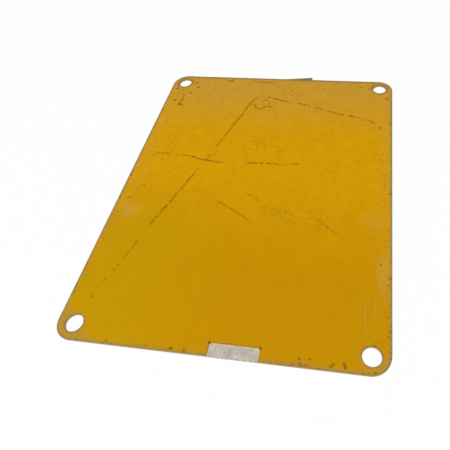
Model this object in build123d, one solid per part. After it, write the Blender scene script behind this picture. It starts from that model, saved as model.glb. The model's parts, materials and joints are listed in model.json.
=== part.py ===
from build123d import *
import os

# Rectangular cover plate: one flat piece of sheet steel, held by a bolt through each corner.
# X runs across the plate, Y along it, Z up. The origin is the middle of the underside.

# Sheet
WIDTH = 200.0            # short side, along X
LENGTH = 257.0           # long side, along Y
THICK = 1.5              # sheet thickness
CORNER_R = 12.0          # rounded outer corners
BREAK = 0.2              # worn break of the sharp top and bottom edges

# Corner holes, plain clearance for an M10 bolt
HOLE_D = 11.0
HOLE_IN_X = 11.0         # hole centre in from the long edges
HOLE_IN_Y = 10.5         # hole centre in from the short edges
HOLE_X = WIDTH / 2 - HOLE_IN_X
HOLE_Y = LENGTH / 2 - HOLE_IN_Y

# Bare shallow land at the near short edge
LAND_W = 30.0
LAND_DEEP = 8.0          # reach in from the edge
LAND_X = 11.7            # middle of the land, right of the plate's middle
LAND_SINK = 0.25         # it lies this far below the painted face
NICK_R = 0.8             # small round nick at each inner corner
NICK_SINK = 0.6

# Thin wedge-shaped lip left on the far short edge
LIP_RIGHT = 28.2         # its square right end
LIP_W = 25.0
LIP_OUT = 3.6            # how far the right end stands past the edge
LIP_ROOT = 2.0           # how far it runs back into the sheet
LIP_TIP = 0.3            # what is left of it at the thin end
LIP_THICK = THICK - 0.4  # it stops short of the painted face


def sheet():
    """The flat blank with rounded corners and its edges broken."""
    with BuildPart() as part:
        with BuildSketch():
            RectangleRounded(WIDTH, LENGTH, CORNER_R)
        extrude(amount=THICK)
        rims = part.edges().group_by(Axis.Z)
        chamfer(rims[0] + rims[-1], BREAK)
        with BuildSketch(Plane.XY) as holes:
            with Locations(*[(x, y) for x in (-HOLE_X, HOLE_X) for y in (-HOLE_Y, HOLE_Y)]):
                Circle(HOLE_D / 2)
        extrude(amount=THICK, mode=Mode.SUBTRACT)
    return part.part


def land():
    """What is taken off the face at the near edge: the land and its two corner nicks."""
    inner = -LENGTH / 2 + LAND_DEEP
    with BuildPart() as cut:
        with BuildSketch(Plane.XY.offset(THICK - LAND_SINK)):
            with Locations((LAND_X, inner - LAND_DEEP / 2 - 1)):
                Rectangle(LAND_W, LAND_DEEP + 2)
        extrude(amount=LAND_SINK + 1)
        with BuildSketch(Plane.XY.offset(THICK - NICK_SINK)):
            with Locations((LAND_X - LAND_W / 2, inner), (LAND_X + LAND_W / 2, inner)):
                Circle(NICK_R)
        extrude(amount=NICK_SINK + 1)
    return cut.part


def lip():
    """The wedge past the far edge, rooted in the sheet."""
    edge = LENGTH / 2
    left = LIP_RIGHT - LIP_W
    with BuildPart() as wedge:
        with BuildSketch():
            Polygon(
                (left, edge - LIP_ROOT),
                (LIP_RIGHT, edge - LIP_ROOT),
                (LIP_RIGHT, edge + LIP_OUT),
                (left, edge + LIP_TIP),
                align=None,
            )
        extrude(amount=LIP_THICK)
    return wedge.part


cover_plate = (sheet() - land()) + lip()

os.makedirs("parts", exist_ok=True)
export_step(cover_plate, "parts/cover_plate.step")
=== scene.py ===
import json
import math
import random

import bmesh
import bpy
import numpy as np
from bpy.props import (FloatProperty, FloatVectorProperty, IntProperty,
                       PointerProperty)
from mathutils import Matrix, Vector, noise
from mathutils.geometry import delaunay_2d_cdt

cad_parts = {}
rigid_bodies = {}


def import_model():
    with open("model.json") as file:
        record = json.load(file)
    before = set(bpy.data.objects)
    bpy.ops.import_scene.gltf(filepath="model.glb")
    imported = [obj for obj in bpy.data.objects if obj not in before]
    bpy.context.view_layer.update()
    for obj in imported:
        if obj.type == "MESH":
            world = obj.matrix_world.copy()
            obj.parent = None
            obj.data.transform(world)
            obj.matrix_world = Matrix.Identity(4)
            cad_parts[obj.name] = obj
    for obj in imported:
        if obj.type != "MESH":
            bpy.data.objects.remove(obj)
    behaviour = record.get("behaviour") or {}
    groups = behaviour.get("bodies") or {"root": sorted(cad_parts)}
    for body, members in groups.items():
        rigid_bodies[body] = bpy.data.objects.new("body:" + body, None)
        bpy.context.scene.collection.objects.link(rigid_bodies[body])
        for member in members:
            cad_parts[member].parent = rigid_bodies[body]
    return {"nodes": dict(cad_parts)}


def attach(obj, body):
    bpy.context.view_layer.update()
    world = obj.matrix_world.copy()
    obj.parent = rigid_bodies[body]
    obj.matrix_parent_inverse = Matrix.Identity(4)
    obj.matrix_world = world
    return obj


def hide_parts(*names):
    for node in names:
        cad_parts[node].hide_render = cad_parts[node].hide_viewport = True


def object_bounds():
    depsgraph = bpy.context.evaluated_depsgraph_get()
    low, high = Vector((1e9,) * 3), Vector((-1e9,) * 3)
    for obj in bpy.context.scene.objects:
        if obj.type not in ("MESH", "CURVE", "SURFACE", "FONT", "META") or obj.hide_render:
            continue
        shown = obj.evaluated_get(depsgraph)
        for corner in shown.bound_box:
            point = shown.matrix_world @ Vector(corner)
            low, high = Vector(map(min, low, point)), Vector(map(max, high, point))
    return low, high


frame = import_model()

bl_info = {
    "name": "Worn Cover Plate",
    "version": (1, 0, 0),
    "blender": (4, 5, 0),
    "location": "3D View > Sidebar > Cover Plate",
    "description": "Dresses a flat cover plate with a worn coat of yellow paint",
    "category": "Object",
}

MM = 0.001
NODE = "cover_plate"
CAD_LOW, CAD_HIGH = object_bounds()
SHEET_TOP = CAD_HIGH.z
PAINTED, CUT_EDGE, LAND, LIP, NICK = range(5)  # the material slots of the sheet

# Tolerances and small gaps, in metres.
WELD = 2e-6            # points nearer to each other than this become one
SLIVER = 1e-7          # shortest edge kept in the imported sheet
SHORT = 2e-5           # shortest edge kept in a film of dirt
LEVEL = 1e-5           # play in what counts as the top, the underside or the land's inner edge
FLOOR_GAP = 2e-5       # the floor lies this far under the plate
FAR_PLAY = 1e-4        # a face this near to the far edge, or past it, can belong to the lip
LIP_PLAY = 2e-4        # play in the width of the lip
NEAR_WALL = 3e-4       # a wall this near to the near edge can belong to the land
NICK_FLOOR = 5e-4      # faces lower than this can't belong to a nick

# Lengths, in mm.
FILM = 0.03            # thickness of a film of dirt
SCRATCH_SINK = 0.004   # the films in the scratches lie this far under the plain face
FLECK_RISE = 0.005     # the films of the flecks stand this far over it
RIM_GAP = 0.12         # nearest that a film comes to a rim
RIM_AIM = 0.14         # where a point that is nearer is moved to
PROBE = 0.02           # step that feels which way a rim lies
NICK_R = 0.8           # radius of the nicks at the land's inner corners
NICK_WALL = 0.85       # faces nearer than this to a nick's middle are its wall or its floor
GROOVE_STEP = 1.2      # spacing of the points along a groove
GROOVE_GAP = 0.35      # nearest that two points of the grooves come to each other
GROOVE_RIM = 0.7       # nearest that a groove comes to a rim
NET_GAP = 0.8          # nearest that the net comes to a groove's points
CDT_GAP = 1e-5         # points nearer than this are one to the triangulation
RIM_FALL, RIM_DIP = 1.2, 0.012         # the face falls away from a rim over this length, by this much
WAVE_FALL = 5.0                        # the waves grow to their full height over this length
WAVE_LONG, WAVE_SHORT = 38.0, 9.0      # sizes of the two waves in the face
WAVER, WAVER_RATE = 0.35, 0.4          # how far a scratch strays from its path, and how often in a mm
RIBBON_STEP, LOOSE_STEP = 0.6, 0.9     # spacing of the points along the dirt in a scratch and beside it
FIELD_X, FIELD_Y = 98, 126             # reach of the flecks scattered over the whole face
SIDE_X, SIDE_Y = 96, 122               # reach of those scattered along the outer edges
FIELD_BOLD, SIDE_BOLD = 0.45, 0.4      # radius over which a scattered fleck is a bold one

# Counts, shares and seeds.
CURVE_PARTS = 24       # points worked out between two given points of a path
RIM_TRIES = 4          # most moves of one point away from a rim
GROOVE_FLANK = 1.6     # a groove's half width at the face, over the half width of its dirt
GROOVE_TAPER, RIBBON_TAPER = 4, 6      # points from an end over which a groove and its dirt grow
LOOK_BACK = 60         # earlier points of the grooves that a new one is compared with
NET_RIM = 0.55         # nearest that the net comes to a rim, in pitches
NET_PLAY = 0.2         # how far a point of the net strays, in pitches
NET_SEED = 11
FIELD_FLECKS, SIDE_FLECKS = 300, 420   # tries at placing a fleck anywhere, and along the edges
CLUSTER_SPREAD = 0.55  # spread of a cluster, over its listed size
FLECK_GROWTH = 1.35    # the chosen flecks are this much larger than listed
BREAK_LENGTH = 0.0042  # length, in metres, over which the dirt in a scratch breaks up
RIBBON_RAGGED, FLECK_RAGGED = 0.00035, 1.5      # ragged outline: in metres, and over a fleck's radius
RIBBON_FINE, FLECK_FINE = 900.0, 1500.0         # how fine the ragged outlines are, per metre
DISC_POINTS, TURN = 9, 6.28            # points round a fleck, and about one full turn

# The stage, in metres and degrees.
FLOOR_WHITE = 0.965    # share of plain white in the floor where it is seen
FLOOR_GREY = (0.9, 0.9, 0.9, 1)
WHITE = (1, 1, 1, 1)
KEY_SIZE, KEY_PLACE = 1.6, (-0.9, -1.1, 1.55)
FILL_SIZE, FILL_PLACE = 1.8, (1.2, -0.9, 1.4)
CAMERA_PLACE = (0.06995, -0.1929, 0.22934)
CAMERA_TURN = (35.4507, 3.4031, 7.7435)
CAMERA_SHIFT, SENSOR = -0.1556, 36.0

# Paths of the scratches over the face, in millimetres from the middle of the plate:
# name, half width, depth, share of the path that is cut through, points.
SCRATCHES = (
    ("long_start", 0.68, 0.05, 0.42, ((-84, -94), (-75, -69), (-67, -42))),
    ("long_lower", 0.88, 0.08, 0.88, ((-68, -45), (-57, -15), (-48, 10))),
    ("long_beside", 0.36, 0.04, 0.34, ((-69, -46), (-60, -20), (-50, 8))),
    ("long_middle", 0.70, 0.07, 0.48, ((-49, 8), (-41, 30), (-37, 46))),
    ("long_upper", 0.70, 0.10, 0.86, ((-37.5, 43), (-28, 71), (-20, 97), (-12, 103))),
    ("long_return", 0.84, 0.10, 0.62, ((-12, 103), (8, 97), (27, 93), (53, 84), (77, 78), (88, 72))),
    ("double", 0.62, 0.06, 0.72, ((-34, 60), (-29.5, 69), (-23.5, 79))),
    ("double_end", 0.34, 0.05, 0.60, ((-24, 84), (-20, 92), (-16, 97))),
    ("hook", 0.75, 0.08, 0.85, ((-19, 92), (-15.5, 86), (-11, 86), (-7, 89), (1, 88.5))),
    ("hook_stem", 0.5, 0.06, 0.72, ((-20, 96), (-17, 91), (-14.5, 84))),
    ("hook_loop", 0.45, 0.05, 0.62, ((-13, 95), (-9, 98), (-5, 94), (-6, 89))),
    ("across_left", 0.9, 0.07, 0.50, ((-86, 27), (-70, 26.5), (-56, 25))),
    ("across_cross", 1.0, 0.08, 0.72, ((-58, 25.5), (-45, 22), (-28, 20))),
    ("across_right", 0.95, 0.08, 0.66, ((-12, 21.5), (5, 22), (16, 22), (31, 24))),
    ("across_tail", 0.34, 0.04, 0.40, ((36, 23), (50, 20), (68, 13))),
    ("slant_start", 0.28, 0.03, 0.40, ((-40, -8), (-33, -12), (-27, -16))),
    ("slant_left", 0.66, 0.07, 0.80, ((-27, -16), (-18, -21), (-9, -26), (3, -33))),
    ("slant_mid", 0.5, 0.05, 0.33, ((-10, -6), (4, -14), (17, -22), (25, -27), (36, -34))),
    ("slant_beside", 0.34, 0.03, 0.34, ((6, -11), (20, -19), (33, -27))),
    ("slant_right", 0.42, 0.04, 0.28, ((36, -17), (49, -28), (67, -41))),
    ("slant_far", 0.30, 0.03, 0.24, ((72, -24), (82, -34), (90, -46))),
    ("corner_tick", 0.85, 0.06, 0.94, ((-84.5, 101), (-85.2, 95), (-86.2, 89))),
    ("far_chip", 1.5, 0.08, 0.99, ((-50.5, 123.3), (-46.5, 123.0), (-42.5, 123.2))),
    ("far_line", 0.8, 0.05, 0.60, ((-30, 123.5), (-14, 122.5), (2, 122.5))),
)

# Scratches whose dirt has spread to loose specks beside them.
LOOSE = ("across", "hook", "slant_mid", "slant_right")

# Single flecks where paint has gone: x, y, radius in millimetres.
FLECKS = (
    (-92, -20, 0.7), (-95, -34, 0.6), (-84, -8, 0.6), (-96, -57, 0.5), (-85.5, -100, 0.6),
    (93, -59, 0.6), (-78, 118.5, 1.0), (-75, 112.5, 1.1), (-94, 109.5, 1.3), (-88, 108, 0.9),
    (-86, 101, 0.9), (-80.5, 104.5, 1.1), (-91.5, 93, 1.0), (-86, 88, 1.4), (-83, 87, 0.8),
    (-80, 87, 0.6), (-79, 103.5, 0.8), (72, 120, 0.9), (80, 118, 0.8), (82, 120, 0.7),
    (95.5, 105, 1.3), (90, 68, 1.2), (98, 74, 0.9), (67, 81, 1.0), (90, -112, 0.7), (91, -110, 0.5),
    (-28, 105, 0.6), (12, 112, 0.7), (6, 108, 0.6), (-2, 116, 0.6), (22, 106, 0.5),
    (-25, -126.2, 0.9), (-17, -126.4, 1.0), (49, -123.6, 1.0), (55, -123.4, 0.9), (50, -126.6, 0.9),
    (53, -127, 0.7), (46, -127, 0.7), (68, -124.8, 0.9), (67, -125.8, 0.7), (74, -124, 1.1),
    (75, -125.6, 0.7), (98.8, -103, 0.6), (98.6, -107, 0.5), (-45, 124.4, 0.7), (11.7, 125.6, 0.9),
    (9, -119.6, 0.6), (96, 30, 0.6), (94, 6, 0.6), (-70, 8, 0.6), (-88, 24, 0.7), (-79, 20, 0.6),
    (-74, 30, 0.5), (-66, 36, 0.6), (-93, 44, 0.6), (-90, 62, 0.6), (40, 40, 0.4), (-60, 118, 0.7),
    (40, 116, 0.6), (55, 112, 0.5), (-42, 112, 0.6), (30, 60, 0.4), (60, 50, 0.4),
)

# Clusters of fine flecks: x, y, spread across and along in millimetres, how many, slant.
CLUSTERS = (
    (-84, 30, 16, 20, 46, 0.0), (-8, 42, 16, 9, 70, 0.0), (-87, 98, 9, 16, 26, 0.0),
    (18, -22, 18, 6, 46, -0.62), (-88, -30, 9, 26, 22, 0.0), (52, -31, 9, 7, 34, -0.62),
    (94, 10, 4, 60, 40, 0.0), (10, 108, 50, 10, 26, 0.0), (-70, 60, 20, 40, 22, 0.0),
    (80, 112, 14, 10, 14, 0.0), (-84, -122, 10, 4, 16, 0.0),
)

# Soft ovals in the paint: x, y, half width, half height in millimetres, strength.
SMUDGES = (
    (-8.0, 42.0, 24.0, 15.0, 1.0), (-84.0, 30.0, 22.0, 26.0, 0.6), (-88.0, -30.0, 14.0, 30.0, 0.5),
    (-85.0, 100.0, 16.0, 24.0, 0.6), (22.0, -24.0, 26.0, 12.0, 0.8), (52.0, -31.0, 18.0, 13.0, 0.8),
)
PALE = ((-87.0, -31.0, 12.0, 10.0, 1.0), (95.0, -66.0, 7.0, 20.0, 1.0), (87.0, -26.0, 14.0, 12.0, 0.35))
STREAKED = ((87.0, -92.0, 9.0, 26.0, 1.0),)
WORN_CORNERS = (
    (-88.0, -124.5, 15.0, 8.0, 1.0), (-97.0, -116.0, 5.0, 12.0, 1.0), (92.0, -122.5, 13.0, 9.0, 0.55),
    (50.0, -127.0, 10.0, 3.5, 0.9),
)

# Tints that the materials add to the colours in the panel.
TINTS = {
    "patch": (0.48, 0.25, 0.001),  # duller patches in the coat
    "glint": (0.80, 0.44, 0.004),  # its brighter grain
    "crumbs": (0.30, 0.16, 0.006),  # crumbs of dirt in the smudges
    "lifted": (0.82, 0.50, 0.05),  # paint that has lifted
    "pale": (0.66, 0.44, 0.085),  # pale rubs
    "streak": (0.66, 0.45, 0.10),  # fine streaks at the near right
    "corner": (0.47, 0.295, 0.062),  # worn corners
    "far_rim": (0.30, 0.225, 0.075),  # grime along the far edge
    "ring_near": (0.30, 0.212, 0.10),  # rings round the near holes
    "ring_far": (0.185, 0.135, 0.075),  # rings round the far holes
    # next tint: painted shade along the land's low step, standing in for its shadow
    "land_step_shade": (0.27, 0.165, 0.02),  # thin line round the land
    "land_halo": (0.66, 0.30, 0.01),  # warmer paint beside it
    "edge_warm": (0.47, 0.31, 0.08),  # warmer stains on the cut edge
    "edge_dark": (0.20, 0.15, 0.08),  # dark spots on it
    "steel_dull": (0.50, 0.475, 0.435),  # duller steel on the land
    "steel_dark": (0.36, 0.335, 0.285),  # its dark speckle
    "steel_light": (0.74, 0.69, 0.56),  # its light speckle
    "steel_rim": (0.64, 0.55, 0.31),  # yellowed steel round its edge
    "lip_dark": (0.16, 0.10, 0.045),  # dark spots on the lip
    "mark_warm": (0.51, 0.258, 0.002),  # warmer dirt in the marks
    "mark_faint": (0.56, 0.285, 0.001),  # what the faintest marks fade to
}


# ---------------------------------------------------------------- sizes and colours

def size_setting(name, about, default):
    return FloatProperty(name=name, description=about, default=default, unit="LENGTH")


def colour_setting(name, about, default):
    return FloatVectorProperty(name=name, description=about, default=default, subtype="COLOR",
                               min=0, max=1)


class PlateSizes(bpy.types.PropertyGroup):
    width: size_setting("Width", "Short side of the plate", 0.2)
    length: size_setting("Length", "Long side of the plate", 0.257)
    corner: size_setting("Corner radius", "Radius of the outer corners", 0.012)
    hole_x: size_setting("Hole offset across", "Middle of the plate to a hole, across", 0.089)
    hole_y: size_setting("Hole offset along", "Middle of the plate to a hole, along", 0.118)
    hole_r: size_setting("Hole radius", "Radius of a corner hole", 0.0055)
    land_x: size_setting("Land middle", "Middle of the bare land, across", 0.0117)
    land_w: size_setting("Land width", "Width of the bare land", 0.03)
    land_deep: size_setting("Land depth", "Reach of the bare land from the near edge", 0.008)
    lip_x: size_setting("Lip middle", "Middle of the far lip, across", 0.0157)
    lip_w: size_setting("Lip width", "Width of the far lip", 0.025)
    pitch: size_setting("Face pitch", "Spacing of the points over the face", 0.0016)
    waver: size_setting("Waviness", "How far the face dips between its high spots", 0.00004)


class PlateColours(bpy.types.PropertyGroup):
    gold: colour_setting("Paint, middle", "Paint where it is least faded", (0.800, 0.394, 0.0003))
    amber: colour_setting("Paint, near end", "Deeper paint towards the near end", (0.650, 0.310, 0.0003))
    olive: colour_setting("Paint, left", "Greener paint at the near left", (0.625, 0.350, 0.0003))
    # the far-end colour is a painted reflection of the white surroundings on the paint
    reflection_tint: colour_setting("Paint, far end", "Chalky paint towards the far end", (0.690, 0.370, 0.040))
    rubbed: colour_setting("Rubbed edge", "Paint rubbed thin at the outer edge", (0.400, 0.284, 0.105))
    mark: colour_setting("Marks", "Dirt and rust in the scratches and flecks", (0.425, 0.210, 0.003))
    deep: colour_setting("Marks, deepest", "Darkest crumbs of dirt in the marks", (0.240, 0.122, 0.006))
    steel: colour_setting("Bare steel", "The bare land", (0.645, 0.59, 0.455))
    edge: colour_setting("Cut edge", "Tarnished edge of the sheet", (0.40, 0.30, 0.145))
    rust: colour_setting("Lip rust", "Rusty end of the far lip", (0.345, 0.185, 0.082))
    soot: colour_setting("Lip dark", "Dark end of the far lip", (0.245, 0.180, 0.072))


class StageSettings(bpy.types.PropertyGroup):
    floor: size_setting("Floor size", "Side of the floor", 8.0)
    key: FloatProperty(name="Key lamp", description="Power of the large soft lamp", default=30.4, min=0)
    fill: FloatProperty(name="Fill lamp", description="Power of the second soft lamp", default=14.7, min=0)
    sky: FloatProperty(name="Surroundings", description="Brightness of the room", default=0.21, min=0)
    lens: FloatProperty(name="Lens", description="Focal length of the camera", default=32.776,
                        unit="CAMERA")
    seed: IntProperty(name="Seed", description="Seed for the scattered flecks", default=7)


# ---------------------------------------------------------------- helpers for materials

class Shade:
    """A small hand for wiring one material."""

    def __init__(self, name, rough, metal=0.0, specular=0.3):
        self.material = bpy.data.materials.new(name)
        self.material.use_nodes = True
        self.tree = self.material.node_tree
        self.nodes, self.links = self.tree.nodes, self.tree.links
        self.nodes.clear()
        self.out = self.nodes.new("ShaderNodeOutputMaterial")
        self.skin = self.nodes.new("ShaderNodeBsdfPrincipled")
        self.skin.inputs["Roughness"].default_value = rough
        self.skin.inputs["Metallic"].default_value = metal
        self.skin.inputs["Specular IOR Level"].default_value = specular
        self.links.new(self.skin.outputs[0], self.out.inputs[0])
        place = self.nodes.new("ShaderNodeTexCoord")
        scale = self.nodes.new("ShaderNodeVectorMath")
        scale.operation = "SCALE"
        scale.inputs["Scale"].default_value = 1000.0
        self.links.new(place.outputs["Object"], scale.inputs[0])
        self.mm = scale.outputs[0]
        split = self.nodes.new("ShaderNodeSeparateXYZ")
        self.links.new(self.mm, split.inputs[0])
        self.x, self.y = split.outputs[0], split.outputs[1]

    def feed(self, socket, value):
        """Links a socket to another one, or sets it to a number or a colour."""
        if isinstance(value, bpy.types.NodeSocket):
            self.links.new(value, socket)
        elif isinstance(value, tuple):
            socket.default_value = value + (1.0,)
        else:
            socket.default_value = value

    def do(self, how, a, b=0.0):
        """One step of arithmetic."""
        n = self.nodes.new("ShaderNodeMath")
        n.operation = how
        self.feed(n.inputs[0], a)
        self.feed(n.inputs[1], b)
        return n.outputs[0]

    def times(self, a, b):
        return self.do("MULTIPLY", a, b)

    def less(self, a, b):
        return self.do("SUBTRACT", a, b)

    def most(self, a, b):
        return self.do("MAXIMUM", a, b)

    def hypot(self, a, b):
        return self.do("SQRT", self.do("ADD", self.times(a, a), self.times(b, b)))

    def span(self, value, low, high, to_low=0.0, to_high=1.0):
        """Value carried softly from the range low..high to to_low..to_high, and held at its ends."""
        n = self.nodes.new("ShaderNodeMapRange")
        n.interpolation_type = "SMOOTHSTEP"
        n.clamp = True
        for i, v in enumerate((value, low, high, to_low, to_high)):
            self.feed(n.inputs[i], v)
        return n.outputs[0]

    def grain(self, size, detail=2.0, rough=0.5, stretch=None, warp=0.0):
        """Noise, 0 to 1, with features about size mm across."""
        n = self.nodes.new("ShaderNodeTexNoise")
        n.inputs["Scale"].default_value = 1.0 / size
        n.inputs["Detail"].default_value = detail
        n.inputs["Roughness"].default_value = rough
        n.inputs["Distortion"].default_value = warp
        source = self.mm
        if stretch:
            m = self.nodes.new("ShaderNodeMapping")
            m.inputs["Scale"].default_value = stretch
            self.links.new(self.mm, m.inputs[0])
            source = m.outputs[0]
        self.links.new(source, n.inputs["Vector"])
        return n.outputs["Fac"]

    def mix(self, fac, a, b):
        """Colour a where fac is 0, b where it is 1."""
        n = self.nodes.new("ShaderNodeMix")
        n.data_type = "RGBA"
        self.feed(n.inputs["Factor"], fac)
        for socket, value in zip([s for s in n.inputs if s.type == "RGBA"], (a, b)):
            self.feed(socket, value)
        return [s for s in n.outputs if s.type == "RGBA"][0]

    def spots(self, places, soft):
        """The strongest of several ovals, each falling from its strength to 0 at its rim."""
        strongest = 0.0
        for x, y, wide, tall, strength in places:
            dx = self.do("DIVIDE", self.less(self.x, x), wide)
            dy = self.do("DIVIDE", self.less(self.y, y), tall)
            oval = self.span(self.hypot(dx, dy), 1.0, 1.0 - soft, 0.0, 1.0)
            strongest = self.most(strongest, self.times(oval, strength))
        return strongest

    def rim(self, s):
        """Distance in from the outer edge of the plate, in mm."""
        hx = self.less(self.do("ABSOLUTE", self.x), (s.width / 2 - s.corner) / MM)
        hy = self.less(self.do("ABSOLUTE", self.y), (s.length / 2 - s.corner) / MM)
        out = self.hypot(self.most(hx, 0.0), self.most(hy, 0.0))
        inner = self.do("MINIMUM", self.most(hx, hy), 0.0)
        return self.less(s.corner / MM, self.do("ADD", out, inner))

    def hole(self, s):
        """Distance out from the nearest corner hole, in mm."""
        dx = self.less(self.do("ABSOLUTE", self.x), s.hole_x / MM)
        dy = self.less(self.do("ABSOLUTE", self.y), s.hole_y / MM)
        return self.less(self.hypot(dx, dy), s.hole_r / MM)

    def land(self, s):
        """Distance out from the bare land, in mm."""
        dx = self.less(self.do("ABSOLUTE", self.less(self.x, s.land_x / MM)), s.land_w / 2 / MM)
        return self.most(dx, self.less(self.y, (-s.length / 2 + s.land_deep) / MM))

    def bump(self, height, depth_mm, strength):
        """Fine relief, depth_mm deep, that only bends the light."""
        n = self.nodes.new("ShaderNodeBump")
        n.inputs["Distance"].default_value = depth_mm * MM
        n.inputs["Strength"].default_value = strength
        self.links.new(height, n.inputs["Height"])
        self.links.new(n.outputs[0], self.skin.inputs["Normal"])

    def colour(self, value):
        self.links.new(value, self.skin.inputs["Base Color"])


def paint_material(s, c):
    m = Shade("worn_yellow_paint", 0.5, specular=0.04)
    wide, patchy, fine = m.grain(42.0, 2), m.grain(9.0, 4, 0.6), m.grain(1.3, 3, 0.7)
    drift = m.times(m.less(wide, 0.5), 40.0)
    along = m.do("ADD", m.y, drift)
    across = m.do("ADD", m.x, drift)

    # the coat: golden in the middle, deeper near, greener at the near left, and paled towards the far end
    # by a painted reflection of the white surroundings
    coat = m.mix(m.span(along, 25.0, -85.0), tuple(c.gold), tuple(c.amber))
    green = m.times(m.span(across, 5.0, -75.0), m.span(along, 10.0, -60.0))
    coat = m.mix(m.times(green, 0.85), coat, tuple(c.olive))
    # painted reflection: the far end, and the sides towards it, are paled towards the far-end colour
    far_reflection = m.span(along, 45.0, 125.0, 0.0, 0.9)
    sides = m.times(m.span(m.rim(s), 16.0, 1.0, 0.0, 0.32), m.span(along, -120.0, 60.0, 0.03, 1.0))
    coat = m.mix(m.most(far_reflection, sides), coat, tuple(c.reflection_tint))
    coat = m.mix(m.span(patchy, 0.30, 0.72, 0.0, 0.17), coat, TINTS["patch"])
    coat = m.mix(m.span(fine, 0.50, 0.80, 0.0, 0.17), coat, TINTS["glint"])

    # rubbed and dirty places
    crumbs = m.span(m.grain(2.3, 6, 0.8), 0.50, 0.62)
    rough_half = m.span(along, -50.0, 20.0, 0.03, 0.32)
    spread = m.most(m.spots(SMUDGES, 0.9), rough_half)
    coat = m.mix(m.times(m.times(spread, crumbs), 0.55), coat, TINTS["crumbs"])
    lifted = m.span(m.grain(2.6, 5, 0.8, warp=0.6), 0.54, 0.66)
    coat = m.mix(m.times(m.times(spread, lifted), 0.35), coat, TINTS["lifted"])
    coat = m.mix(m.times(m.times(m.spots(PALE, 0.9), patchy), 0.62), coat, TINTS["pale"])
    streak = m.span(m.grain(1.0, 2, 0.6, stretch=(1.0, 0.03, 1.0)), 0.52, 0.66)
    coat = m.mix(m.times(m.times(streak, m.spots(STREAKED, 0.8)), 0.22), coat, TINTS["streak"])
    speckle = m.span(m.grain(2.2, 5, 0.8), 0.40, 0.60, 0.15, 0.8)
    coat = m.mix(m.times(m.spots(WORN_CORNERS, 0.8), speckle), coat, TINTS["corner"])

    # paint rubbed thin at the outer edge and grimy along the far side
    ragged = m.times(m.less(m.grain(3.2, 5, 0.7), 0.42), 5.0)
    reach = m.span(m.y, -128.0, 60.0, 2.7, 3.5)
    dust = m.span(m.less(m.rim(s), m.times(ragged, 0.5)), reach, -0.1)
    broken = m.span(m.grain(3.6, 5, 0.75), 0.36, 0.60, 0.35, 1.0)
    coat = m.mix(m.times(m.times(dust, broken), 0.95), coat, tuple(c.rubbed))
    from_far = m.less(s.length / 2 / MM - 0.2, m.do("ADD", m.y, m.times(ragged, 0.9)))
    coat = m.mix(m.span(from_far, 3.6, 0.4, 0.0, 0.55), coat, TINTS["far_rim"])

    # dark rings round the holes, and dark ticks at the edge
    rim = m.span(m.less(m.rim(s), m.times(ragged, 0.7)), 1.1, 0.4)
    reach = m.span(m.y, -60.0, 100.0, 1.5, 2.8)
    ring = m.span(m.less(m.hole(s), m.times(ragged, 0.7)), reach, 0.1)
    ring = m.times(ring, m.span(m.grain(2.6, 4, 0.7), 0.36, 0.58, 0.45, 1.0))
    dark = m.mix(m.span(m.y, -60.0, 100.0), TINTS["ring_near"], TINTS["ring_far"])
    coat = m.mix(m.times(m.most(m.times(rim, 0.45), ring), 0.8), coat, dark)
    ticks = m.times(m.span(m.grain(1.5, 3, 0.6), 0.57, 0.67), m.span(m.rim(s), 3.0, 0.4))
    coat = m.mix(m.times(ticks, 0.75), coat, tuple(c.deep))

    # a thin line of painted shade along the step of the land, and the warmer paint round the land
    line = m.span(m.do("ADD", m.land(s), m.times(m.less(fine, 0.5), 0.9)), 1.0, 0.3)
    coat = m.mix(m.times(line, 0.75), coat, TINTS["land_step_shade"])
    coat = m.mix(m.span(m.land(s), 3.5, 0.8, 0.0, 0.22), coat, TINTS["land_halo"])
    m.colour(coat)

    rough = m.do("ADD", 0.44, m.times(patchy, 0.16))
    m.links.new(m.do("ADD", rough, m.times(rim, 0.12)), m.skin.inputs["Roughness"])
    peel = m.do("ADD", m.grain(0.8, 2, 0.5), m.times(m.grain(3.0, 2), 0.8))
    m.bump(m.less(peel, m.times(ticks, 0.8)), 0.035, 0.35)
    return m.material


def edge_material(c):
    m = Shade("tarnished_cut_edge", 0.6, metal=0.25, specular=0.3)
    coat = m.mix(m.span(m.grain(2.4, 4, 0.7), 0.38, 0.62), tuple(c.edge), TINTS["edge_warm"])
    coat = m.mix(m.span(m.grain(0.7, 3, 0.7), 0.55, 0.7, 0.0, 0.6), coat, TINTS["edge_dark"])
    m.colour(coat)
    m.bump(m.grain(0.35, 3, stretch=(1.0, 1.0, 0.3)), 0.03, 0.6)
    return m.material


def steel_material(s, c):
    m = Shade("bare_speckled_steel", 0.62, metal=0.08, specular=0.2)
    coat = m.mix(m.span(m.grain(5.0, 3, 0.6), 0.38, 0.62), tuple(c.steel), TINTS["steel_dull"])
    coat = m.mix(m.span(m.grain(1.4, 3, 0.7), 0.48, 0.64, 0.0, 0.75), coat, TINTS["steel_dark"])
    coat = m.mix(m.span(m.grain(2.4, 2, 0.5, warp=1.0), 0.54, 0.70, 0.0, 0.6), coat, TINTS["steel_light"])
    coat = m.mix(m.span(m.land(s), -1.8, -0.2, 0.0, 0.6), coat, TINTS["steel_rim"])
    m.colour(coat)
    m.bump(m.grain(0.45, 4, 0.7), 0.03, 0.6)
    return m.material


def lip_material(c):
    m = Shade("rusty_lip", 0.7, metal=0.1, specular=0.25)
    turn = m.do("ADD", m.x, m.times(m.less(m.grain(3.0, 3), 0.5), 4.0))
    coat = m.mix(m.span(turn, 16.0, 20.0), tuple(c.rust), tuple(c.soot))
    coat = m.mix(m.span(m.grain(0.8, 4, 0.75), 0.5, 0.7, 0.0, 0.5), coat, TINTS["lip_dark"])
    m.colour(coat)
    m.bump(m.grain(0.5, 4, 0.7), 0.05, 0.8)
    return m.material


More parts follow.
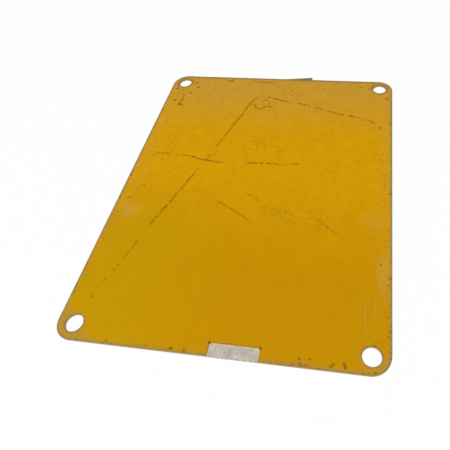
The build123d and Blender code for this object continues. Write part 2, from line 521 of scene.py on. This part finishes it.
def mark_material(c, name="scratch_dirt", towards=TINTS["mark_faint"], share=0.0):
    """Dirt in a mark, with a share of it paled or darkened towards another colour."""
    m = Shade(name, 0.75, specular=0.05)
    coat = m.mix(m.span(m.grain(6.0, 3, 0.6), 0.38, 0.62), tuple(c.mark), TINTS["mark_warm"])
    coat = m.mix(m.span(m.grain(1.6, 3, 0.7), 0.50, 0.68, 0.0, 0.55), coat, tuple(c.deep))
    coat = m.mix(share, coat, tuple(towards))
    m.colour(coat)
    m.bump(m.grain(0.3, 3), 0.02, 0.6)
    return m.material


# ---------------------------------------------------------------- helpers for shape

def wobble(x, y, layer):
    """Smooth noise, about -1 to 1. Each layer has a pattern of its own."""
    return noise.noise(Vector((x, y, layer)))


def ease(t):
    """A soft step from 0 at 0 to 1 at 1 and beyond."""
    t = min(t, 1.0)
    return t * t * (3 - 2 * t)


def smooth_path(points, step):
    """Evenly spaced points, in mm, on a soft curve through the given ones, with a little waver."""
    p = [Vector((x, y, 0.0)) for x, y in points]
    p = [p[0] * 2 - p[1]] + p + [p[-1] * 2 - p[-2]]
    fine = []
    for a, b, c, d in zip(p, p[1:], p[2:], p[3:]):
        for i in range(CURVE_PARTS):
            t = i / CURVE_PARTS
            fine.append(0.5 * (2 * b + (c - a) * t + (2 * a - 5 * b + 4 * c - d) * t * t
                               + (3 * b - a - 3 * c + d) * t ** 3))
    fine.append(p[-2])
    out, need = [fine[0]], step
    for a, b in zip(fine, fine[1:]):
        gap = (b - a).length
        while need <= gap:
            out.append(a.lerp(b, need / gap))
            need += step
        need -= gap
    for q in out:
        q.x += WAVER * wobble(q.x * WAVER_RATE, q.y * WAVER_RATE, 5)
        q.y += WAVER * wobble(q.x * WAVER_RATE, q.y * WAVER_RATE, 9)
    return out


def rim_distance(x, y, s):
    """Distance in mm from x, y to the nearest rim of the painted face: outer edge, hole or land."""
    hx, hy = abs(x) - (s.width / 2 - s.corner) / MM, abs(y) - (s.length / 2 - s.corner) / MM
    out = math.hypot(max(hx, 0.0), max(hy, 0.0)) + min(max(hx, hy), 0.0)
    edge = s.corner / MM - out
    hole = math.hypot(abs(x) - s.hole_x / MM, abs(y) - s.hole_y / MM) - s.hole_r / MM
    lx = abs(x - s.land_x / MM) - s.land_w / 2 / MM
    ly = y - (-s.length / 2 + s.land_deep) / MM
    land = max(lx, ly) if max(lx, ly) <= 0 else math.hypot(max(lx, 0.0), max(ly, 0.0))
    return min(edge, hole, land)


def dip(x, y, s):
    """How far, in mm, the plain face lies under its highest plane: 0 at the rims, up to 0.05 inside."""
    near = max(rim_distance(x, y, s), 0.0)
    wave = 0.5 + 0.5 * wobble(x / WAVE_LONG, y / WAVE_LONG, 2)
    small = 0.5 + 0.5 * wobble(x / WAVE_SHORT, y / WAVE_SHORT, 7)
    waves = ease(near / WAVE_FALL) * (s.waver / MM) * (0.8 * wave + 0.2 * small)
    return ease(near / RIM_FALL) * RIM_DIP + waves


def finished(name, mesh, slot, *materials):
    """A visible piece, linked to the scene with its materials. The slot, which says what it is made of, is
    not used.
    """
    ob = bpy.data.objects.new(name, mesh)
    bpy.context.scene.collection.objects.link(ob)
    for m in materials:
        ob.data.materials.append(m)
    return ob


def baked(ob, name):
    """Turns what an object's nodes make into a plain mesh and drops the source."""
    bpy.context.view_layer.update()
    graph = bpy.context.evaluated_depsgraph_get()
    mesh = bpy.data.meshes.new_from_object(ob.evaluated_get(graph), depsgraph=graph)
    mesh.name = name
    tree = ob.modifiers[0].node_group
    old = ob.data
    bpy.data.objects.remove(ob)
    bpy.data.meshes.remove(old)
    bpy.data.node_groups.remove(tree)
    return mesh


def points_object(name, co, edges, values):
    """An object of points, joined by edges if there are any, with named numbers on each point."""
    mesh = bpy.data.meshes.new(name)
    mesh.from_pydata(co, edges, [])
    for label, numbers in values.items():
        mesh.attributes.new(label, "FLOAT", "POINT").data.foreach_set("value", numbers)
    ob = bpy.data.objects.new(name, mesh)
    bpy.context.scene.collection.objects.link(ob)
    return ob


def settle(mesh, s, lift):
    """Lays a flat mesh lift mm over the face, kept in from the rims, and closes it as a film."""
    bm = bmesh.new()
    bm.from_mesh(mesh)
    for v in bm.verts:
        x, y = v.co.x / MM, v.co.y / MM
        for _ in range(RIM_TRIES):
            near = rim_distance(x, y, s)
            if near >= RIM_GAP:
                break
            gx = rim_distance(x + PROBE, y, s) - rim_distance(x - PROBE, y, s)
            gy = rim_distance(x, y + PROBE, s) - rim_distance(x, y - PROBE, s)
            size = math.hypot(gx, gy) or 1.0
            x, y = x + gx / size * (RIM_AIM - near), y + gy / size * (RIM_AIM - near)
        v.co = (x * MM, y * MM, SHEET_TOP - max(dip(x, y, s) - lift, 0.0) * MM)
    bmesh.ops.dissolve_degenerate(bm, edges=bm.edges, dist=SHORT)
    bm.normal_update()
    bmesh.ops.reverse_faces(bm, faces=[f for f in bm.faces if f.normal.z < 0])
    below = bmesh.ops.extrude_face_region(bm, geom=bm.faces[:], use_keep_orig=True)["geom"]
    for v in [g for g in below if isinstance(g, bmesh.types.BMVert)]:
        v.co.z -= FILM * MM
    bmesh.ops.recalc_face_normals(bm, faces=bm.faces)
    bm.to_mesh(mesh)
    bm.free()


def film(ob, name, s, lift):
    """Turns what an object's nodes make into a film of dirt on the face."""
    mesh = baked(ob, name)
    if not mesh.polygons:
        raise RuntimeError("the " + name + " came out empty")
    settle(mesh, s, lift)
    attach(finished(name, mesh, "dull_edge"), "root")


class Tree:
    """A Geometry Nodes tree that makes the dirt of some marks."""

    def __init__(self, name, inputs):
        self.group = bpy.data.node_groups.new(name, "GeometryNodeTree")
        face = self.group.interface
        face.new_socket("Geometry", in_out="INPUT", socket_type="NodeSocketGeometry")
        self.ids = {}
        for label, kind in {**inputs, "Raggedness": "Float", "Dirt": "Material"}.items():
            self.ids[label] = face.new_socket(label, in_out="INPUT",
                                              socket_type="NodeSocket" + kind).identifier
        face.new_socket("Geometry", in_out="OUTPUT", socket_type="NodeSocketGeometry")
        self.source = self.group.nodes.new("NodeGroupInput").outputs
        self.sink = self.group.nodes.new("NodeGroupOutput").inputs

    def node(self, kind, links, **settings):
        """A node with its settings, and its inputs linked to sockets or set to values."""
        n = self.group.nodes.new(kind)
        for key, value in settings.items():
            setattr(n, key, value)
        for key, value in links.items():
            if isinstance(value, bpy.types.NodeSocket):
                self.group.links.new(value, n.inputs[key])
            else:
                n.inputs[key].default_value = value
        return n

    def out(self, kind, links, **settings):
        return self.node(kind, links, **settings).outputs[0]

    def vector(self, how, a, b):
        """One step of arithmetic on a vector, with b a number for SCALE and a vector otherwise."""
        return self.out("ShaderNodeVectorMath", {0: a, "Scale" if how == "SCALE" else 1: b}, operation=how)

    def per_point(self, name):
        return self.out("GeometryNodeInputNamedAttribute", {"Name": name}, data_type="FLOAT")

    def place(self):
        return self.out("GeometryNodeInputPosition", {})

    def ragged(self, geometry, fineness, reach, spread):
        """Moves each point of the geometry sideways by noise, by up to half of reach times spread."""
        rough = self.node("ShaderNodeTexNoise", {"Vector": self.place(), "Scale": fineness, "Detail": 1.0})
        centred = self.vector("SUBTRACT", rough.outputs["Color"], (0.5, 0.5, 0.5))
        flat = self.vector("MULTIPLY", self.vector("SCALE", centred, reach), (spread, spread, 0.0))
        return self.out("GeometryNodeSetPosition", {"Geometry": geometry, "Offset": flat})

    def finish(self, geometry, ob, values):
        """Gives the geometry its dirt, and puts the tree on an object with these values."""
        dirt = self.out("GeometryNodeSetMaterial", {"Geometry": geometry, "Material": self.source["Dirt"]})
        self.group.links.new(dirt, self.sink[0])
        mod = ob.modifiers.new("shape", "NODES")
        mod.node_group = self.group
        for label, value in values.items():
            mod[self.ids[label]] = value


def open_sheet(s):
    """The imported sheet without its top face, and the edges round the opening, cut up for the net."""
    bm = bmesh.new()
    bm.from_mesh(frame["nodes"][NODE].data)
    bmesh.ops.remove_doubles(bm, verts=bm.verts, dist=WELD)
    bmesh.ops.dissolve_degenerate(bm, edges=bm.edges, dist=SLIVER)
    top = [f for f in bm.faces if all(abs(v.co.z - SHEET_TOP) < LEVEL for v in f.verts)]
    if not top:
        raise RuntimeError("the packed sheet has no flat top face")
    bmesh.ops.delete(bm, geom=top, context="FACES_ONLY")
    for e in [e for e in bm.edges if not e.link_faces]:
        bm.edges.remove(e)
    for e in [e for e in bm.edges if len(e.link_faces) == 1]:
        cuts = int(e.calc_length() / (2 * s.pitch))
        if cuts:
            bmesh.ops.subdivide_edges(bm, edges=[e], cuts=cuts)
    return bm, [e for e in bm.edges if len(e.link_faces) == 1]


def groove_points(s):
    """Points along the bottoms and flanks of the grooves: x, y and depth under the plain face, in mm."""
    made = []
    for _, half, deep, _, path in SCRATCHES:
        line = smooth_path(path, GROOVE_STEP)
        last = len(line) - 1
        for i, q in enumerate(line):
            a, b = line[max(i - 1, 0)], line[min(i + 1, last)]
            side = Vector((a.y - b.y, b.x - a.x, 0.0)).normalized()
            taper = min(1.0, 0.25 + min(i, last - i) / GROOVE_TAPER)
            flank = half * GROOVE_FLANK
            for off, low in ((0.0, deep * taper), (flank, 0.0), (-flank, 0.0)):
                p = q + side * off
                if rim_distance(p.x, p.y, s) > GROOVE_RIM and all(
                        abs(p.x - o[0]) + abs(p.y - o[1]) > GROOVE_GAP for o in made[-LOOK_BACK:]):
                    made.append((p.x, p.y, low))
    return made


def net_points(s, grooves):
    """Points of a slightly uneven net over the face, in mm, clear of the rims and of the grooves."""
    taken = np.array(grooves)
    rnd = random.Random(NET_SEED)
    pitch = s.pitch / MM
    made = []
    for j in range(int(s.length / s.pitch) + 1):
        for i in range(int(s.width / s.pitch) + 1):
            x = -s.width / 2 / MM + (i + 0.5 * (j % 2)) * pitch + rnd.uniform(-NET_PLAY, NET_PLAY) * pitch
            y = -s.length / 2 / MM + j * pitch + rnd.uniform(-NET_PLAY, NET_PLAY) * pitch
            if rim_distance(x, y, s) < NET_RIM * pitch:
                continue
            if np.min((taken[:, 0] - x) ** 2 + (taken[:, 1] - y) ** 2) >= NET_GAP ** 2:
                made.append((x, y, 0.0))
    return made


def sheet_slot(f, s, nicks):
    """The material slot of a face that isn't part of the painted top, from where the face lies."""
    mid = f.calc_center_median()
    near_edge = -s.length / 2
    if mid.z > NICK_FLOOR and any(math.hypot(mid.x / MM - nx, mid.y / MM - ny) < NICK_WALL
                                  for nx, ny in nicks):
        return NICK
    if (mid.y > s.length / 2 - FAR_PLAY and abs(mid.x - s.lip_x) < s.lip_w / 2 + LIP_PLAY
            and f.normal.y > -0.5):
        return LIP
    if mid.z < LEVEL:
        return PAINTED
    if (mid.y < near_edge + s.land_deep + LEVEL and abs(mid.x - s.land_x) < s.land_w / 2
            and (f.normal.z > 0.5 or mid.y < near_edge + NEAR_WALL)):
        return LAND
    return CUT_EDGE


# ---------------------------------------------------------------- operators

class PLATE_OT_sheet(bpy.types.Operator):
    """Build the steel sheet with its painted, slightly wavy and scratched face"""
    bl_idname = "plate.sheet"
    bl_label = "Sheet"

    def execute(self, context):
        s, c = context.scene.plate_sizes, context.scene.plate_colours
        bm, rims = open_sheet(s)
        edge_verts = list({v for e in rims for v in e.verts})
        index = {v: i for i, v in enumerate(edge_verts)}
        links = [(index[e.verts[0]], index[e.verts[1]]) for e in rims]
        grooves = groove_points(s)
        points = [(v.co.x / MM, v.co.y / MM, 0.0) for v in edge_verts] + net_points(s, grooves) + grooves
        flat, _, faces, origins, _, _ = delaunay_2d_cdt([Vector((x, y)) for x, y, _ in points], links, [],
                                                        1, CDT_GAP)
        made = []
        for co, sources in zip(flat, origins):
            first = min(sources, default=None)
            if first is not None and first < len(edge_verts):
                made.append(edge_verts[first])
                continue
            low = 0.0 if first is None else points[first][2]
            made.append(bm.verts.new((co.x * MM, co.y * MM, SHEET_TOP - (dip(co.x, co.y, s) + low) * MM)))

        inner = (-s.length / 2 + s.land_deep) / MM
        nicks = [((s.land_x + k * s.land_w / 2) / MM, inner) for k in (-1, 1)]
        skin = set()
        for tri in faces:
            x, y = (sum(flat[i][k] for i in tri) / 3 for k in (0, 1))
            if rim_distance(x, y, s) <= 0 or len({made[i] for i in tri}) < 3:
                continue
            if all(math.hypot(x - nx, y - ny) > NICK_R for nx, ny in nicks):
                skin.add(bm.faces.new([made[i] for i in tri]))
        for v in [v for v in bm.verts if not v.link_faces]:
            bm.verts.remove(v)
        bmesh.ops.triangulate(bm, faces=[f for f in bm.faces if len(f.verts) > 3])
        bm.normal_update()
        for f in bm.faces:
            if f in skin:
                f.smooth = True
            f.material_index = PAINTED if f in skin else sheet_slot(f, s, nicks)
        for e in bm.edges:
            e.smooth = len(e.link_faces) == 2 and all(f in skin for f in e.link_faces)
        mesh = bpy.data.meshes.new("painted_sheet")
        bm.to_mesh(mesh)
        bm.free()
        # the fifth material darkens the floor and walls of the land's two nicks
        ob = finished("painted_sheet", mesh, "yellow_face", paint_material(s, c), edge_material(c),
                      steel_material(s, c), lip_material(c), mark_material(c, "nick_dark", c.deep, 0.8))
        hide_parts(NODE)
        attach(ob, "root")
        return {"FINISHED"}


class PLATE_OT_scratches(bpy.types.Operator):
    """Lay the broken dark lines of dirt in the scratches"""
    bl_idname = "plate.scratches"
    bl_label = "Scratch lines"

    def execute(self, context):
        s, c = context.scene.plate_sizes, context.scene.plate_colours
        self.lay("scratch_lines", [x for x in SCRATCHES if x[3] >= 0.5], s, mark_material(c))
        self.lay("faint_lines", [x for x in SCRATCHES if x[3] < 0.5], s,
                 mark_material(c, "faint_dirt", share=0.55))
        return {"FINISHED"}

    def lay(self, name, paths, s, dirt_material):
        """Ribbons along the paths, broken where the noise is over the share of a path that is cut."""
        co, edges, wide, whole = [], [], [], []
        for _, half, _, share, path in paths:
            line = smooth_path(path, RIBBON_STEP)
            for i, q in enumerate(line):
                if i:
                    edges.append((len(co) - 1, len(co)))
                end = min(i, len(line) - 1 - i) / RIBBON_TAPER
                thick = max(0.3, 0.75 + 0.9 * wobble(q.x * 0.3, q.y * 0.3, 3))
                wide.append(half * max(0.25, min(1.0, end)) * thick * MM)
                whole.append(share)
                co.append((q.x * MM, q.y * MM, SHEET_TOP - (dip(q.x, q.y, s) + SCRATCH_SINK) * MM))
        ob = points_object("scratch_paths", co, edges, {"half_width": wide, "whole": whole})

        t = Tree("scratch_ribbons", {"Break length": "Float"})
        curve = t.out("GeometryNodeMeshToCurve", {"Mesh": t.source["Geometry"]})
        flat = t.out("GeometryNodeSetCurveNormal", {"Curve": curve}, mode="Z_UP")
        profile = t.out("GeometryNodeCurvePrimitiveLine", {"Start": (-1, 0, 0), "End": (1, 0, 0)})
        strip = t.out("GeometryNodeCurveToMesh", {"Curve": flat, "Profile Curve": profile,
                                                  "Scale": t.per_point("half_width")})
        size = t.out("ShaderNodeMath", {0: 1.0, 1: t.source["Break length"]}, operation="DIVIDE")
        gaps = t.out("ShaderNodeTexNoise", {"Vector": t.place(), "Scale": size, "Detail": 2.0})
        # the noise lies mostly between 0.30 and 0.70
        limit = t.out("ShaderNodeMapRange", {0: t.per_point("whole"), 3: 0.30, 4: 0.70})
        gone = t.out("FunctionNodeCompare", {0: gaps, 1: limit}, data_type="FLOAT",
                     operation="GREATER_THAN")
        broken = t.out("GeometryNodeDeleteGeometry", {"Geometry": strip, "Selection": gone}, domain="FACE")
        rough = t.ragged(broken, RIBBON_FINE, t.source["Raggedness"], 2.0)
        t.finish(rough, ob, {"Break length": BREAK_LENGTH, "Raggedness": RIBBON_RAGGED,
                             "Dirt": dirt_material})
        film(ob, name, s, -SCRATCH_SINK)


class PLATE_OT_flecks(bpy.types.Operator):
    """Scatter the small flecks where paint has gone: chosen ones, and fine ones by wear"""
    bl_idname = "plate.flecks"
    bl_label = "Flecks"

    def execute(self, context):
        s, c = context.scene.plate_sizes, context.scene.plate_colours
        seed = context.scene.plate_stage.seed
        rnd = random.Random(seed)
        bold, faint = [], []

        def add(where, x, y, r):
            if rim_distance(x, y, s) > r * 0.45:
                where.append((x, y, r))

        for x, y, r in FLECKS:
            add(bold, x, y, r * FLECK_GROWTH)
        for x, y, a, b, count, slant in CLUSTERS:
            for _ in range(count):
                u, v = rnd.gauss(0, CLUSTER_SPREAD), rnd.gauss(0, CLUSTER_SPREAD)
                add(faint, x + a * u, y + b * v + slant * a * u, rnd.uniform(0.2, 0.65))
        for _ in range(FIELD_FLECKS):
            x, y = rnd.uniform(-FIELD_X, FIELD_X), rnd.uniform(-FIELD_Y, FIELD_Y)
            r = 0.14 + 0.5 * rnd.random() ** 3
            if rnd.random() < 0.2 + (y + FIELD_Y) / 300:
                add(bold if r > FIELD_BOLD else faint, x, y, r)
        for name, _, _, _, path in SCRATCHES:
            share = 0.75 if name.startswith(LOOSE) else 0.12
            for q in smooth_path(path, LOOSE_STEP):
                if rnd.random() < share:
                    add(faint, q.x + rnd.gauss(0, 1.1), q.y + rnd.gauss(0, 1.1), rnd.uniform(0.2, 0.5))
        half_w, half_l = round(s.width / 2 / MM, 3), round(s.length / 2 / MM, 3)
        for _ in range(SIDE_FLECKS):
            side, t = rnd.choice("abcd"), rnd.uniform(-1, 1)
            r = 0.20 + 0.65 * rnd.random() ** 2
            off = r * 0.6 + rnd.random() ** 2 * 2.2
            x = {"a": half_w - off, "b": off - half_w}.get(side, t * SIDE_X)
            y = {"c": half_l - off, "d": off - half_l}.get(side, t * SIDE_Y)
            add(bold if r > SIDE_BOLD else faint, x, y, r)
        self.lay("paint_flecks", bold, s, seed, mark_material(c, "fleck_dirt", c.deep, 0.4))
        self.lay("faint_flecks", faint, s, seed, mark_material(c, "faint_fleck_dirt", share=0.5))
        return {"FINISHED"}

    def lay(self, name, spots, s, seed, dirt_material):
        """A ragged, turned and squashed disc at each spot."""
        ob = points_object("fleck_points", [(x * MM, y * MM, SHEET_TOP) for x, y, _ in spots], [],
                           {"fleck_size": [r * MM for _, _, r in spots]})

        t = Tree("fleck_scatter", {"Seed": "Int"})
        disc = t.out("GeometryNodeMeshCircle", {"Vertices": DISC_POINTS, "Radius": 1.0},
                     fill_type="TRIANGLE_FAN")
        width = t.per_point("fleck_size")
        squash = t.out("FunctionNodeRandomValue", {"Min": (0.6, 0.6, 1.0), "Max": (1.25, 1.0, 1.0),
                                                   "Seed": t.source["Seed"]}, data_type="FLOAT_VECTOR")
        spin = t.out("FunctionNodeRandomValue", {"Min": (0.0, 0.0, 0.0), "Max": (0.0, 0.0, TURN),
                                                 "Seed": 5}, data_type="FLOAT_VECTOR")
        placed = t.out("GeometryNodeInstanceOnPoints", {
            "Points": t.source["Geometry"], "Instance": disc, "Rotation": spin,
            "Scale": t.vector("SCALE", squash, width)})
        real = t.out("GeometryNodeRealizeInstances", {"Geometry": placed})
        reach = t.out("ShaderNodeMath", {0: width, 1: t.source["Raggedness"]}, operation="MULTIPLY")
        rough = t.ragged(real, FLECK_FINE, reach, 1.0)
        t.finish(rough, ob, {"Seed": seed, "Raggedness": FLECK_RAGGED, "Dirt": dirt_material})
        film(ob, name, s, FLECK_RISE)


def lit_and_seen(owner, end, lit, seen, share):
    """Wires a material or a world that lights with one shader and shows a share of another.

    The second is only for the rays that see it, mirror it or look through to it.
    """
    owner.use_nodes = True
    nodes, links = owner.node_tree.nodes, owner.node_tree.links
    nodes.clear()
    rays = nodes.new("ShaderNodeLightPath").outputs
    weight = rays["Is Camera Ray"]
    for label in ("Is Glossy Ray", "Is Transmission Ray"):
        most = nodes.new("ShaderNodeMath")
        most.operation = "MAXIMUM"
        links.new(weight, most.inputs[0])
        links.new(rays[label], most.inputs[1])
        weight = most.outputs[0]
    part = nodes.new("ShaderNodeMath")
    part.operation = "MULTIPLY"
    part.inputs[1].default_value = share
    links.new(weight, part.inputs[0])
    mixed = nodes.new("ShaderNodeMixShader")
    links.new(part.outputs[0], mixed.inputs[0])
    for socket, (kind, values) in zip(mixed.inputs[1:], (lit, seen)):
        shader = nodes.new(kind)
        for label, value in values.items():
            shader.inputs[label].default_value = value
        links.new(shader.outputs[0], socket)
    links.new(mixed.outputs[0], nodes.new(end).inputs[0])


class PLATE_OT_stage(bpy.types.Operator):
    """Set the pale floor, the soft lamps, the surroundings and the camera"""
    bl_idname = "plate.stage"
    bl_label = "Stage"

    def execute(self, context):
        scene, g = context.scene, context.scene.plate_stage
        half = g.floor / 2
        mesh = bpy.data.meshes.new("floor")
        corners = ((-half, -half), (half, -half), (half, half), (-half, half))
        mesh.from_pydata([(x, y, -FLOOR_GAP) for x, y in corners], [], [(0, 1, 2, 3)])
        floor = bpy.data.objects.new("floor", mesh)
        scene.collection.objects.link(floor)
        m = bpy.data.materials.new("pale_floor")
        lit_and_seen(m, "ShaderNodeOutputMaterial", ("ShaderNodeBsdfDiffuse", {"Color": FLOOR_GREY}),
                     ("ShaderNodeEmission", {"Strength": 1.0}), FLOOR_WHITE)
        mesh.materials.append(m)

        world = bpy.data.worlds.new("room")
        lit_and_seen(world, "ShaderNodeOutputWorld",
                     ("ShaderNodeBackground", {"Color": WHITE, "Strength": g.sky}),
                     ("ShaderNodeBackground", {"Color": WHITE, "Strength": 1.0}), 1.0)
        scene.world = world

        for name, power, size, place in (("key", g.key, KEY_SIZE, KEY_PLACE),
                                         ("fill", g.fill, FILL_SIZE, FILL_PLACE)):
            lamp = bpy.data.lights.new(name, "AREA")
            lamp.energy, lamp.size = power, size
            ob = bpy.data.objects.new(name, lamp)
            ob.location = place
            ob.rotation_euler = (-Vector(place)).to_track_quat("-Z", "Y").to_euler()
            scene.collection.objects.link(ob)

        data = bpy.data.cameras.new("camera")
        data.sensor_width, data.lens = SENSOR, g.lens
        data.shift_x = CAMERA_SHIFT
        data.clip_start, data.clip_end = 0.01, 50.0
        camera = bpy.data.objects.new("camera", data)
        camera.location = CAMERA_PLACE
        camera.rotation_euler = [math.radians(a) for a in CAMERA_TURN]
        scene.collection.objects.link(camera)
        scene.camera = camera
        scene.view_settings.view_transform = "Standard"
        return {"FINISHED"}


class PLATE_PT_panel(bpy.types.Panel):
    bl_idname = "PLATE_PT_panel"
    bl_label = "Cover Plate"
    bl_space_type = "VIEW_3D"
    bl_region_type = "UI"
    bl_category = "Cover Plate"

    def draw(self, context):
        for step in STEPS:
            self.layout.operator(step.bl_idname)
        for group in (context.scene.plate_sizes, context.scene.plate_colours, context.scene.plate_stage):
            box = self.layout.box()
            for name in group.__annotations__:
                box.prop(group, name)


STEPS = (PLATE_OT_sheet, PLATE_OT_scratches, PLATE_OT_flecks, PLATE_OT_stage)
CLASSES = (PlateSizes, PlateColours, StageSettings, *STEPS, PLATE_PT_panel)


def register():
    for cls in CLASSES:
        bpy.utils.register_class(cls)
    bpy.types.Scene.plate_sizes = PointerProperty(type=PlateSizes)
    bpy.types.Scene.plate_colours = PointerProperty(type=PlateColours)
    bpy.types.Scene.plate_stage = PointerProperty(type=StageSettings)


def unregister():
    del bpy.types.Scene.plate_sizes, bpy.types.Scene.plate_colours, bpy.types.Scene.plate_stage
    for cls in reversed(CLASSES):
        bpy.utils.unregister_class(cls)


def main():
    register()
    for name in ("sheet", "scratches", "flecks", "stage"):
        getattr(bpy.ops.plate, name)()


if __name__ == "__main__":
    main()
